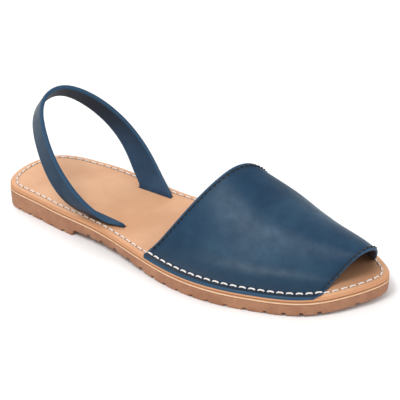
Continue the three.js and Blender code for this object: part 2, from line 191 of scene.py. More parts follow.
def new_piece(name, points, faces, node=None, materials=(), face_ids=None, marks=None):
    """A mesh from points in millimetres in the sole's own frame, placed in the part's frame."""
    mesh = bpy.data.meshes.new(name)
    mesh.from_pydata(((np.asarray(points) + SHIFT) * 0.001).tolist(), [], faces)
    for material in materials:
        mesh.materials.append(material)
    if face_ids is not None:
        mesh.polygons.foreach_set("material_index", np.asarray(face_ids, dtype=np.int32))
    for key, values in (marks or {}).items():
        layer = mesh.attributes.new(key, "FLOAT", "POINT")
        layer.data.foreach_set("value", np.asarray(values, dtype=np.float32))
    mesh.polygons.foreach_set("use_smooth", np.ones(len(mesh.polygons), dtype=bool))
    mesh.update()
    piece = bpy.data.objects.new(name, mesh)
    bpy.context.scene.collection.objects.link(piece)
    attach(piece, "root")
    if node:
        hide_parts(node)
    return piece


def capped(rings, columns, bottom_columns):
    """Closed body from rings, bottom first, with gridded bottom and top faces."""
    count, last = len(RING), len(AT) - 1
    points = [np.concatenate(rings)]
    faces = []
    for k in range(len(rings) - 1):
        a, b = k * count, (k + 1) * count
        for j in range(count):
            n = (j + 1) % count
            faces.append((a + j, a + n, b + n, b + j))
    size = len(rings) * count

    def cap(base, source, cols, up):
        nonlocal size
        share = (np.arange(1, cols) / cols)[None, :, None]
        right = source[1:last][:, None]
        left = source[count - 1 : count - last : -1][:, None]
        points.append((right + (left - right) * share).reshape(-1, 3))
        rows = []
        for j in range(1, last):
            inner = [size + (j - 1) * (cols - 1) + k for k in range(cols - 1)]
            rows.append([base + j] + inner + [base + count - j])
        size += (last - 1) * (cols - 1)
        add = faces.append if up else (lambda f: faces.append(tuple(reversed(f))))
        for k in range(cols):
            add((base, rows[0][k], rows[0][k + 1]))
            add((rows[-1][k + 1], rows[-1][k], base + last))
        for a, b in zip(rows, rows[1:]):
            for k in range(cols):
                add((a[k], b[k], b[k + 1], a[k + 1]))

    cap(0, rings[0], bottom_columns, False)
    cap((len(rings) - 1) * count, rings[-1], columns, True)
    return np.concatenate(points), faces


# Materials
def material(name, color, roughness, **sockets):
    made = bpy.data.materials.new(name)
    made.use_nodes = True
    shader = made.node_tree.nodes["Principled BSDF"]
    shader.inputs["Base Color"].default_value = (*color, 1)
    shader.inputs["Roughness"].default_value = roughness
    for key, value in sockets.items():
        shader.inputs[key.replace("_", " ")].default_value = value
    return made


def srgb(r, g, b):
    def linear(v):
        v = v / 255
        return v / 12.92 if v <= 0.04045 else ((v + 0.055) / 1.055) ** 2.4

    return (linear(r), linear(g), linear(b))


class Nodes:
    """Short names for the shader nodes that the materials share."""

    def __init__(self, made):
        self.tree = made.node_tree
        self.shader = self.tree.nodes["Principled BSDF"]
        self.place = self.tree.nodes.new("ShaderNodeTexCoord").outputs["Object"]

    def add(self, kind, inputs=None, **settings):
        node = self.tree.nodes.new(kind)
        for key, value in settings.items():
            setattr(node, key, value)
        for key, value in (inputs or {}).items():
            socket = node.inputs[key]
            if isinstance(value, bpy.types.NodeSocket):
                self.tree.links.new(value, socket)
            else:
                socket.default_value = value
        return node

    def noise(self, scale, detail=3.0, rough=0.5, stretch=None, distortion=0.0):
        place = self.place
        if stretch:
            place = self.add("ShaderNodeMapping", {"Vector": place, "Scale": stretch}).outputs["Vector"]
        wanted = {"Vector": place, "Scale": scale, "Detail": detail}
        wanted.update({"Roughness": rough, "Distortion": distortion})
        return self.add("ShaderNodeTexNoise", wanted).outputs["Fac"]

    def cells(self, scale, feature="F1"):
        wanted = {"Vector": self.place, "Scale": scale}
        return self.add("ShaderNodeTexVoronoi", wanted, feature=feature).outputs["Distance"]

    def range(self, value, a, b, c=0.0, d=1.0, kind="SMOOTHSTEP"):
        wanted = {"Value": value, "From Min": a, "From Max": b, "To Min": c, "To Max": d}
        return self.add("ShaderNodeMapRange", wanted, interpolation_type=kind).outputs["Result"]

    def math(self, kind, a, b=0.0):
        return self.add("ShaderNodeMath", {0: a, 1: b}, operation=kind).outputs[0]

    def from_line(self, value, line):
        """Distance of a mark from the line where it has one value."""
        return self.math("ABSOLUTE", self.math("SUBTRACT", value, line))

    def mix(self, share, a, b):
        node = self.tree.nodes.new("ShaderNodeMix")
        node.data_type = "RGBA"
        for socket, value in ((node.inputs[0], share), (node.inputs[6], a), (node.inputs[7], b)):
            if isinstance(value, bpy.types.NodeSocket):
                self.tree.links.new(value, socket)
            elif socket is node.inputs[0]:
                socket.default_value = value
            else:
                socket.default_value = (*value, 1)
        return node.outputs[2]

    def axis(self, letter):
        return self.add("ShaderNodeSeparateXYZ", {"Vector": self.place}).outputs[letter]

    def mark(self, name):
        return self.add("ShaderNodeAttribute", attribute_name=name).outputs["Fac"]

    def bump(self, height, distance, strength, normal=None):
        wanted = {"Height": height, "Distance": distance, "Strength": strength}
        if normal is not None:
            wanted["Normal"] = normal
        return self.add("ShaderNodeBump", wanted).outputs["Normal"]

    def wire(self, **sockets):
        for key, value in sockets.items():
            self.tree.links.new(value, self.shader.inputs[key.replace("_", " ")])


# Colour of painted shade, for the gap under the heel strap by the outer slit
UNDER_SHADE = srgb(6, 8, 12)


def blue_leather():
    made = material("blue_leather", srgb(33, 62, 86), 0.42, Specular_IOR_Level=0.19)
    n = Nodes(made)
    clouds = n.noise(26, 2.0, 0.45, distortion=0.6)
    fine = n.noise(150, 4.0, 0.6)
    color = n.mix(n.range(clouds, 0.35, 0.68), srgb(25, 55, 80), srgb(40, 71, 94))
    streak = n.noise(95, 4.0, 0.65, stretch=(1.0, 0.35, 1.0))
    color = n.mix(n.range(streak, 0.42, 0.7, 0.0, 0.35), color, srgb(46, 78, 100))
    color = n.mix(n.range(fine, 0.3, 0.75, 0.0, 0.4), color, srgb(22, 49, 72))
    # Darker polish beside the cut edges, and painted shade in the bend above the seam
    rim = n.range(n.mark("rim"), 1.2, 6.0, 1.0, 0.0)
    color = n.mix(n.math("MULTIPLY", rim, 0.4), color, srgb(20, 44, 67))
    bend = n.range(n.mark("bend"), 0.5, 20.0, 1.0, 0.0, "LINEAR")
    color = n.mix(n.math("MULTIPLY", bend, 0.6), color, srgb(18, 38, 57))
    # The hem outside the seam: a dark groove of painted shade over its flat top, then a paler outer band of
    # painted highlight on its rounded rim
    hem = n.mark("hem")
    groove = n.math("MULTIPLY", n.range(hem, 0.6, 1.3), n.range(hem, 4.8, 6.0, 1.0, 0.0))
    color = n.mix(n.math("MULTIPLY", groove, 0.85), color, srgb(12, 29, 46))
    color = n.mix(n.range(hem, 0.3, 0.9, 0.5, 0.0), color, srgb(48, 86, 114))
    # A paler strip outside the fine seam, and the dark line of the seam
    color = n.mix(n.range(n.mark("rim"), 0.7, 1.2, 0.5, 0.0), color, srgb(48, 86, 116))
    line = n.range(n.from_line(n.mark("rim"), EDGE_SEAM_INSET), 0.15, 0.55, 0.4, 0.0)
    color = n.mix(line, color, srgb(11, 20, 32))
    # Painted shade where the heel strap hangs close over the sole by the outer slit
    color = n.mix(n.mark("under"), color, UNDER_SHADE)
    pores = n.cells(1150)
    grain = n.cells(520, "SMOOTH_F1")
    normal = n.bump(grain, 0.00012, 0.35)
    normal = n.bump(pores, 0.00005, 0.3, normal)
    normal = n.bump(n.noise(60, 3.0, 0.5), 0.0009, 0.12, normal)
    sunk = n.range(n.from_line(n.mark("rim"), EDGE_SEAM_INSET), 0.15, 0.75)
    normal = n.bump(sunk, 0.00022, 0.9, normal)
    rough = n.range(fine, 0.25, 0.8, 0.36, 0.5, "LINEAR")
    n.wire(Base_Color=color, Roughness=rough, Normal=normal)
    return made


def cut_edge():
    made = material("blue_cut_edge", srgb(36, 68, 96), 0.5, Specular_IOR_Level=0.25)
    n = Nodes(made)
    layer = n.noise(900, 2.0, 0.6, stretch=(1, 1, 2.5))
    color = n.mix(n.range(layer, 0.3, 0.7), srgb(33, 63, 89), srgb(43, 77, 104))
    # Painted shade where the heel strap hangs close over the sole by the outer slit
    color = n.mix(n.mark("under"), color, UNDER_SHADE)
    n.wire(Base_Color=color, Normal=n.bump(layer, 0.0001, 0.25))
    return made


def lining():
    made = material("blue_lining", srgb(74, 69, 74), 0.85, Specular_IOR_Level=0.15)
    n = Nodes(made)
    nap = n.noise(1400, 3.0, 0.7)
    color = n.mix(n.range(nap, 0.3, 0.7), srgb(58, 54, 60), srgb(94, 86, 90))
    n.wire(Base_Color=color, Normal=n.bump(nap, 0.00012, 0.5))
    return made


def strap_back():
    made = material("blue_strap_back", srgb(38, 58, 82), 0.6, Specular_IOR_Level=0.18)
    n = Nodes(made)
    clouds = n.noise(40, 3.0, 0.5)
    nap = n.noise(900, 3.0, 0.65)
    color = n.mix(n.range(clouds, 0.35, 0.7), srgb(40, 62, 86), srgb(52, 78, 104))
    color = n.mix(n.range(nap, 0.45, 0.8, 0.0, 0.35), color, srgb(30, 46, 66))
    # Painted shade: darker higher up the inner face, towards the back of the loop, where it turns away from the
    # light
    color = n.mix(n.range(n.axis("Z"), 0.026, 0.056, 0.0, 0.75), color, srgb(21, 25, 33))
    n.wire(Base_Color=color, Normal=n.bump(nap, 0.0001, 0.4))
    return made


def tan_leather():
    made = material("tan_leather", srgb(208, 160, 122), 0.55, Specular_IOR_Level=0.35)
    n = Nodes(made)
    clouds = n.noise(32, 4.0, 0.55, distortion=0.4)
    speck = n.noise(700, 4.0, 0.7)
    color = n.mix(n.range(clouds, 0.32, 0.7), srgb(203, 151, 113), srgb(215, 166, 128))
    color = n.mix(n.range(speck, 0.55, 0.8, 0.0, 0.4), color, srgb(188, 136, 98))
    # The margin outside the seam is a little browner, and the side of the edge is darker still
    inset = n.mark("inset")
    margin = n.range(inset, 0.2, 6.0, 1.0, 0.0)
    color = n.mix(n.math("MULTIPLY", margin, 0.2), color, srgb(204, 150, 108))
    side = n.range(inset, 0.5, 1.1, 1.0, 0.0)
    color = n.mix(n.math("MULTIPLY", side, 0.45), color, srgb(200, 142, 100))
    # A dark line along the upper rim, where the edge was burnished
    rub = n.range(n.from_line(inset, 0.5), 0.1, 0.35, 0.7, 0.0)
    color = n.mix(rub, color, srgb(190, 128, 84))
    # Painted shade on the insole inside the seam at the toe, where the vamp's front keeps the light off
    toe_shade = n.math("MULTIPLY", n.range(inset, 4.2, 5.6), n.range(n.axis("X"), 0.06, 0.085))
    color = n.mix(n.math("MULTIPLY", toe_shade, 0.5), color, srgb(164, 116, 86))
    seam = n.range(n.from_line(inset, SEAM_INSET), 0.2, 0.9, 1.0, 0.0)
    color = n.mix(n.math("MULTIPLY", seam, 0.35), color, srgb(164, 114, 80))
    normal = n.bump(n.cells(900), 0.00006, 0.35)
    normal = n.bump(n.noise(220, 4.0, 0.6), 0.0002, 0.3, normal)
    n.wire(Base_Color=color, Normal=normal)
    return made


def board():
    made = material("leather_board", srgb(222, 182, 146), 0.7)
    n = Nodes(made)
    fibre = n.noise(600, 4.0, 0.7, stretch=(0.5, 0.5, 3))
    color = n.mix(n.range(fibre, 0.3, 0.7), srgb(222, 180, 142), srgb(240, 208, 174))
    # Only a narrow line in the middle of the edge is left pale; the darker band above it is painted shade in
    # the gap under the insole
    level = n.mark("level")
    pale = n.math("MULTIPLY", n.range(level, 0.08, 0.26), n.range(level, 0.6, 0.78, 1.0, 0.0))
    color = n.mix(pale, srgb(176, 122, 84), color)
    n.wire(Base_Color=color, Normal=n.bump(fibre, 0.00015, 0.5))
    return made


def rubber():
    made = material("rubber", srgb(160, 113, 86), 0.8)
    n = Nodes(made)
    crumb = n.cells(620)
    clouds = n.noise(90, 4.0, 0.65)
    streak = n.noise(260, 3.0, 0.6, stretch=(1.6, 1.6, 0.35))
    color = n.mix(n.range(clouds, 0.3, 0.7), srgb(152, 104, 77), srgb(172, 124, 94))
    color = n.mix(n.range(streak, 0.45, 0.75, 0.0, 0.25), color, srgb(142, 96, 70))
    normal = n.bump(crumb, 0.00025, 0.4)
    normal = n.bump(streak, 0.0003, 0.2, normal)
    n.wire(Base_Color=color, Normal=normal)
    return made


def thread(name, light, dark):
    made = material(name, light, 0.75, Sheen_Weight=0.2)
    n = Nodes(made)
    fibre = n.noise(1800, 3.0, 0.6)
    n.wire(Base_Color=n.mix(n.range(fibre, 0.3, 0.7), dark, light), Normal=n.bump(fibre, 0.0001, 0.4))
    return made


BLUE, BLUE_EDGE, LINING, STRAP_BACK = blue_leather(), cut_edge(), lining(), strap_back()
TAN, BOARD, RUBBER = tan_leather(), board(), rubber()
WHITE_THREAD = thread("white_thread", srgb(246, 242, 240), srgb(222, 214, 208))
INSOLE_THREAD = thread("insole_thread", srgb(240, 234, 230), srgb(206, 196, 190))
BLUE_THREAD = thread("blue_thread", srgb(7, 10, 16), srgb(4, 6, 10))
NEEDLE_HOLE = material("needle_hole", srgb(134, 98, 74), 0.9)


# Sole
def cut_by(piece, points, faces):
    """Cuts closed bodies out of a piece and keeps the result as its mesh."""
    mesh = bpy.data.meshes.new("cutter")
    mesh.from_pydata(((np.asarray(points) + SHIFT) * 0.001).tolist(), [], faces)
    cutter = bpy.data.objects.new("cutter", mesh)
    bpy.context.scene.collection.objects.link(cutter)
    step = piece.modifiers.new("cut", "BOOLEAN")
    step.operation, step.object, step.solver = "DIFFERENCE", cutter, "EXACT"
    shaped = bpy.data.meshes.new_from_object(piece.evaluated_get(bpy.context.evaluated_depsgraph_get()))
    piece.modifiers.clear()
    piece.data = shaped
    bpy.data.objects.remove(cutter)


# Section of the rubber's edge: inset from the outline and height over its tread face or from its top face
RUBBER_FOOT = [(1.3, 0.0), (1.0, 0.08), (0.75, 0.4), (0.5, 1.0)]
RUBBER_BROW = [(0.05, -0.4), (0.12, -0.12), (0.4, 0.0)]


def groove(x, base):
    """A wavy bar to cut away across the sole, with its points numbered from base."""
    y = np.linspace(-BALL, BALL, 121)
    middle = x + GROOVE_WAVE * np.sin(y / WAVE_LENGTH * 2 * math.pi)
    right, left = (edge(middle / LENGTH, side)[:, 1] for side in (-1, 1))
    mouth = 1 - smooth(np.minimum(y - right, left - y), 0.5, 4.5)
    foot, roof = FOOT_HALF + FOOT_FLARE * mouth, ROOF_HALF + ROOF_FLARE * mouth
    top = float(tread_face(x / LENGTH)) + GROOVE_DEPTH + DEPTH_FLARE * mouth
    below = np.full(len(y), -4.0)
    corners = ((-foot, below), (foot, below), (roof, top), (-roof, top))
    points = np.stack([np.stack([middle + across, y, z], -1) for across, z in corners], 1).reshape(-1, 3)
    faces = []
    for a in range(base, base + 4 * len(y) - 4, 4):
        for i in range(4):
            j = (i + 1) % 4
            faces.append((a + i, a + 4 + i, a + 4 + j, a + j))
    end = base + 4 * len(y) - 4
    return points, faces + [tuple(range(base, base + 4)), tuple(range(end, end + 4))[::-1]]


def outsole():
    low, high = tread_face(RING_AT), rubber_top(RING_AT)
    rings = [ring(inset, low + lift) for inset, lift in RUBBER_FOOT]
    for share in (0.25, 0.5, 0.75):
        rings.append(ring(0.5 - 0.4 * share, low + 1.0 + (high - 0.5 - low - 1.0) * share))
    rings += [ring(inset, high + drop) for inset, drop in RUBBER_BROW]
    points, faces = capped(rings, 12, 12)
    piece = new_piece("outsole_rubber", points, faces, "outsole", [RUBBER])
    points, faces = np.empty((0, 3)), []
    x = GROOVE_FROM
    while x < LENGTH * GROOVE_TO_SHARE:
        # No groove at the step between the heel block and the waist
        if abs(x - HEEL_BLOCK - BREAST_RUN) > GROOVE_PITCH / 2:
            bar, sides = groove(x, len(points))
            points, faces = np.concatenate([points, bar]), faces + sides
        x += GROOVE_PITCH
    cut_by(piece, points, faces)
    piece.data.shade_smooth()
    piece.data.set_sharp_from_angle(angle=math.radians(38))
    return piece


def midsole():
    low = rubber_top(RING_AT) + 0.02
    high = low + MIDSOLE + GAP + 0.1
    rings = [ring(1.0, low), ring(0.35, low + 0.05), ring(0.12, low + 0.25)]
    rings += [ring(0.08, (low + high) / 2), ring(0.14, high - 0.25), ring(0.4, high - 0.03), ring(1.2, high)]
    points, faces = capped(rings, 8, 8)
    # Height between the board's lower and upper face, for its colour
    level = np.zeros(len(points))
    level[: len(rings) * len(RING)] = np.concatenate([(r[:, 2] - low) / (high - low) for r in rings])
    marks = {"level": level}
    return new_piece("midsole_board", points, faces, "midsole", [BOARD], marks=marks)


# Section of the insole's edge: inset from the outline and height under its top face
INSOLE_EDGE = [
    (1.2, -2.2), (0.5, -2.16), (0.28, -2.0), (0.2, -1.6), (0.18, -1.1), (0.24, -0.72), (0.42, -0.4),
    (0.72, -0.17), (1.1, -0.05), (1.6, 0.0), (2.4, 0.0), (3.0, 0.0), (3.4, -0.03), (3.75, -0.16),
    (4.2, -0.28), (4.65, -0.16), (5.0, -0.03), (5.6, 0.0), (8.0, 0.0),
]
# How many of these rings lie under the edge
INSOLE_UNDER_RINGS = 3


def slit_frame(front, rear, outward):
    """Ends of a slit, the way along it and the way outward."""
    front, rear = np.array(front, float), np.array(rear, float)
    along = unit(front - rear)
    return front, rear, along, np.array([-along[1], along[0]]) * outward


SLITS = [
    slit_frame((0.382 * LENGTH, -0.465 * HEEL), (0.286 * LENGTH, -0.410 * HEEL), -1),
    slit_frame((0.393 * LENGTH, 0.268 * HEEL), (0.301 * LENGTH, 0.273 * HEEL), 1),
]


def insole():
    top = insole_top(RING_AT)
    rings = [ring(inset, top + drop) for inset, drop in INSOLE_EDGE]
    points, faces = capped(rings, 40, 8)
    inset = np.full(len(points), 12.0)
    for k, (value, _) in enumerate(INSOLE_EDGE):
        inset[k * len(RING) : (k + 1) * len(RING)] = value if k >= INSOLE_UNDER_RINGS else 0.0
    piece = new_piece("insole_leather", points, faces, "insole", [TAN], marks={"inset": inset})
    points, faces = [], []
    well_below, well_above = 6.0, 20.0
    for front, rear, along, out in SLITS:
        base = len(points)
        for z in (well_below, well_above):
            for end, past in ((rear, -GAP), (front, GAP)):
                for side in (-1, 1):
                    place = end + along * past + out * side * (STRAP / 2 + GAP)
                    points.append((*place, z))
        quads = [(0, 1, 3, 2), (4, 6, 7, 5), (0, 4, 5, 1), (2, 3, 7, 6), (0, 2, 6, 4), (1, 5, 7, 3)]
        flip = np.cross(along, out) < 0
        faces += [tuple(base + i for i in (q[::-1] if flip else q)) for q in quads]
    cut_by(piece, points, faces)
    piece.data.shade_smooth()
    piece.data.set_sharp_from_angle(angle=math.radians(50))
    return piece


# Vamp: arch sections from its rear edge to its front edge
VAMP_ROWS = np.array([
    # at, height, outerIn, outerUp, ridge, innerIn, innerUp, lean
    (0.00, 1.000, 0.113, 0.321, 0.458, 0.824, 0.752, 0.377),
    (0.33, 0.743, 0.146, 0.326, 0.466, 0.862, 0.755, 0.168),
    (0.67, 0.520, 0.167, 0.280, 0.451, 0.802, 0.815, 0.347),
    (1.00, 0.352, 0.240, 0.214, 0.505, 0.830, 0.866, 0.465),
])
ARCH = [natural(VAMP_ROWS[:, 0], VAMP_ROWS[:, k]) for k in range(1, 8)]
# Where the arch meets the sole, from the rear to the front, as shares of the length on each side
FOOT = {-1: (0.489, 0.897), 1: (0.616, 0.945)}
# Front end of the flange, how far its outer edge is cut back there, and its corner radii, rear and front
FLANGE_TO = {-1: 0.911, 1: 0.945}
CUT_BACK = {-1: 0.0, 1: 0.02}
CORNERS = {-1: (0.8, 2.0), 1: (0.8, 2.0)}
# The flange: inset from the sole's outline and height of its top over the insole
FLANGE = [
    (0.0, -0.45), (0.12, 0.2), (0.45, 0.75), (0.9, 1.04), (1.4, 1.16), (2.0, 1.22), (2.7, 1.14), (3.3, 0.94),
    (3.8, 0.8), (4.2, 0.76), (4.6, 0.84), (5.1, 1.06), (5.7, 1.45),
]


def inset_curve(side, setback):
    """Plan of a line that runs at one distance inside the sole's outline."""
    at = np.concatenate([np.linspace(0.3, 0.8, 400)[:-1], 0.8 + 0.2 * np.sin(np.linspace(0, math.pi / 2, 240))])
    plan = edge(at, side)
    along = unit(np.gradient(plan, axis=0))
    out = np.stack([-side * along[:, 1], side * along[:, 0]], -1)
    inner = plan - out * setback
    keep = np.concatenate([[True], np.diff(np.maximum.accumulate(inner[:, 0])) > 1e-6])
    return inner[keep]


def at_length(curve, x):
    return np.array([x, np.interp(x, curve[:, 0], curve[:, 1])])


# The arch starts where it has risen this far, or by this share of its height. A bend leads up to it.
BEND_RISE, BEND_SHARE = 8.0, 0.38
FOOT_SETBACK = {-1: FOOT_OUTER, 1: FOOT_INNER}
FOOT_CURVE = {side: inset_curve(side, FOOT_SETBACK[side]) for side in (-1, 1)}
FLANGE_SCALE = {side: (FOOT_SETBACK[side] - 0.6) / 6.7 for side in (-1, 1)}
FLANGE_CURVE = {
    side: [inset_curve(side, inset * FLANGE_SCALE[side]) for inset, _ in FLANGE] for side in (-1, 1)
}
ARCH_STEPS = 120


def flange_x(side, t, inset):
    """Place along the sole of a point of the flange, with its ends cut back and its corners rounded."""
    x = (FOOT[side][0] + (FLANGE_TO[side] - FOOT[side][0]) * t) * LENGTH
    x -= CUT_BACK[side] * LENGTH * t**4 * (1 - inset / FOOT_SETBACK[side])
    rear, front = CORNERS[side]
    for radius, near in ((rear, (1 - t) ** 14), (front, -(t**14))):
        rest = max(0.0, radius - inset)
        x += (radius - math.sqrt(max(0.0, radius**2 - rest**2))) * near
    return x


def bend(start, end, after):
    """Even bend from the end of the flange up to the arch."""
    control = end - unit(after - end) * np.linalg.norm(end - start) / 2
    s = np.linspace(0, 1, 19)[1:-1, None]
    return start * (1 - s) ** 2 + 2 * control * s * (1 - s) + end * s**2


def vamp_section(t):
    """Outer face across the vamp at one station: outer flange, bend, arch, bend and inner flange."""
    height, outer_in, outer_up, ridge, inner_in, inner_up, lean = (float(f(t)) for f in ARCH)
    height *= INSTEP
    knots = [0, 0.27, 0.5, 0.73, 1]
    across = natural(knots, [0, outer_in, ridge, inner_in, 1])
    up = natural(knots, [0, outer_up, 1, inner_up, 0])
    x = {side: (FOOT[side][0] + (FOOT[side][1] - FOOT[side][0]) * t) * LENGTH for side in (-1, 1)}
    foot = {}
    for side in (-1, 1):
        plan = at_length(FOOT_CURVE[side], x[side])
        foot[side] = np.array([plan[0], plan[1], float(insole_top(plan[0] / LENGTH))])
    place = np.linspace(0, 1, 2401)
    rise = up(place) * height
    limit = min(BEND_RISE, BEND_SHARE * height)
    first = place[np.argmax(rise > limit)]
    last = place[len(place) - 1 - np.argmax(rise[::-1] > limit)]
    w = np.linspace(first, last, ARCH_STEPS + 1)
    share, rise = across(w)[:, None], up(w) * height
    arch = foot[-1] + (foot[1] - foot[-1]) * share
    arch[:, 0] += lean * rise
    arch[:, 2] += rise
    sides = {}
    for side in (-1, 1):
        rows = []
        for curve, (inset, lift) in zip(FLANGE_CURVE[side], FLANGE):
            plan = at_length(curve, flange_x(side, t, inset * FLANGE_SCALE[side]))
            rows.append((plan[0], plan[1], float(insole_top(plan[0] / LENGTH)) + lift))
        sides[side] = np.array(rows)
    outer, inner = bend(sides[-1][-1], arch[0], arch[1]), bend(sides[1][-1], arch[-1], arch[-2])
    line = np.concatenate([sides[-1], outer, arch, inner[::-1], sides[1][::-1]])
    # Round off the fold between flange and bend
    soft = line.copy()
    for _ in range(8):
        soft[1:-1] = (soft[:-2] + 2 * soft[1:-1] + soft[2:]) / 4
    column = np.arange(len(line))
    past = np.minimum(column, column[::-1]) - len(FLANGE)
    share = smooth(past, -3, 1) * (1 - smooth(past, 20, 30))
    return line + (soft - line) * share[:, None]


def sheet(outer, inner, bulge, rim=4):
    """Closed sheet from two grids, with a rounded rim. Face ids: 0 outer, 1 inner, 2 rim."""
    rows, cols = outer.shape[:2]
    points = [outer.reshape(-1, 3), inner.reshape(-1, 3)]
    half = rows * cols
    faces, ids = [], []
    for i in range(rows - 1):
        for j in range(cols - 1):
            a = i * cols + j
            quad = (a, a + 1, a + cols + 1, a + cols)
            faces.append(quad[::-1])
            faces.append(tuple(half + k for k in quad))
            ids += [0, 1]
    border = [(0, j) for j in range(cols)] + [(i, cols - 1) for i in range(1, rows)]
    border += [(rows - 1, j) for j in range(cols - 2, -1, -1)] + [(i, 0) for i in range(rows - 2, 0, -1)]
    inside = [(min(max(i, 1), rows - 2), min(max(j, 1), cols - 2)) for i, j in border]
    a = np.array([outer[k] for k in border])
    b = np.array([inner[k] for k in border])
    away = unit(a - np.array([outer[k] for k in inside]))
    loops = [[i * cols + j for i, j in border]]
    for k in range(1, rim):
        angle = math.pi * k / rim
        mixed = (a + b) / 2 + (a - b) / 2 * math.cos(angle) + away * bulge * math.sin(angle)
        loops.append([sum(len(p) for p in points) + i for i in range(len(border))])
        points.append(mixed)
    loops.append([half + i * cols + j for i, j in border])
    for low, high in zip(loops, loops[1:]):
        for i in range(len(border)):
            j = (i + 1) % len(border)
            faces.append((low[i], low[j], high[j], high[i]))
            ids.append(2)
    return np.concatenate(points), faces, ids


def grid_normals(grid):
    across = np.gradient(grid, axis=1)
    along = np.gradient(grid, axis=0)
    return unit(np.cross(along, across))


VAMP_GRID = np.array([vamp_section(t) for t in np.linspace(0, 1, 121)])
VAMP_NORMAL = grid_normals(VAMP_GRID)


def vamp():
    thick = np.full(VAMP_GRID.shape[1], VAMP)
    flange = len(FLANGE)
    thick[:flange] = thick[-flange:] = FLANGE_WALL
    for _ in range(6):
        thick[1:-1] = (thick[:-2] + 2 * thick[1:-1] + thick[2:]) / 4
    inner = VAMP_GRID - VAMP_NORMAL * thick[None, :, None]
    points, faces, ids = sheet(VAMP_GRID, inner, RIM_BULGE)
    # Marks for the colour: distances from the free edges and from the bend, and inset on the flange
    run = run_along(VAMP_GRID)
    rim = np.minimum(run, run[-1] - run)
    walk = run_along(VAMP_GRID.swapaxes(0, 1)).T
    bend = np.minimum(np.abs(walk - walk[:, [flange]]), np.abs(walk - walk[:, [-flange - 1]]))
    marks = {}
    hem = np.full(rim.shape, 12.0)
    hem[:, :flange] = [inset for inset, _ in FLANGE]
    hem[:, -flange:] = [inset for inset, _ in FLANGE[::-1]]
    for key, values, outside in (("rim", rim, 0.0), ("bend", bend, 30.0), ("hem", hem, 12.0)):
        full = np.full(len(points), outside)
        full[: values.size] = values.ravel()
        full[values.size : 2 * values.size] = values.ravel()
        marks[key] = full
    skins = [BLUE, LINING, BLUE_EDGE]
    return new_piece("vamp_leather", points, faces, "vamp", skins, ids, marks)


# Heel strap: upper edge from the outer slit round the heel to the inner slit, and the way to its lower edge
STRAP_ROWS = np.array([
    # at, along, across, up, back, over, down
    (0.05, 0.347, -0.548, 0.057, -1.63, 0.21, 0.02),
    (0.10, 0.304, -0.590, 0.184, -1.37, 0.20, -0.15),
    (0.20, 0.218, -0.565, 0.517, -0.80, 0.18, -0.59),
    (0.30, 0.156, -0.427, 0.791, -0.57, 0.12, -0.82),
    (0.40, 0.110, -0.215, 0.934, -0.53, 0.07, -0.85),
    (0.50, 0.096, -0.006, 1.002, -0.64, 0.22, -0.74),
    (0.60, 0.118, 0.171, 1.009, -0.67, 0.35, -0.66),
    (0.70, 0.173, 0.334, 0.870, -0.71, 0.23, -0.67),
    (0.80, 0.239, 0.453, 0.602, -0.89, 0.01, -0.50),
    (0.90, 0.312, 0.432, 0.299, -1.26, -0.08, -0.21),
    (0.95, 0.351, 0.366, 0.145, -1.47, -0.06, -0.06),
])
# How the strap folds outward over a slit's lip: lift and shift in strap thicknesses, and turn in degrees
OUTER_FOLD = [(-0.1, 0.0, 0), (0.42, 0.16, 35), (0.75, 0.6, 68)]
INNER_FOLD = [(-0.1, 0.0, 0), (0.5, 0.15, 24)]
# Rows of the loop that take part in the fold, and the rows and smoothing passes that fill it in
FOLD_REACH, FOLD_ROWS, FOLD_PASSES = 13, 60, 14
# Section of the strap, going round: outer face, upper edge, inner face and lower edge, each of so many points
FACE_POINTS = 9
# Round of an edge: distance from the outermost point and share of the half thickness
STRAP_EDGE = [
    (0.75, 0.97), (0.28, 0.8), (0.04, 0.5), (0.0, 0.22), (0.28, 0.0), (0.0, -0.22), (0.04, -0.5), (0.28, -0.8),
    (0.75, -0.97),
]


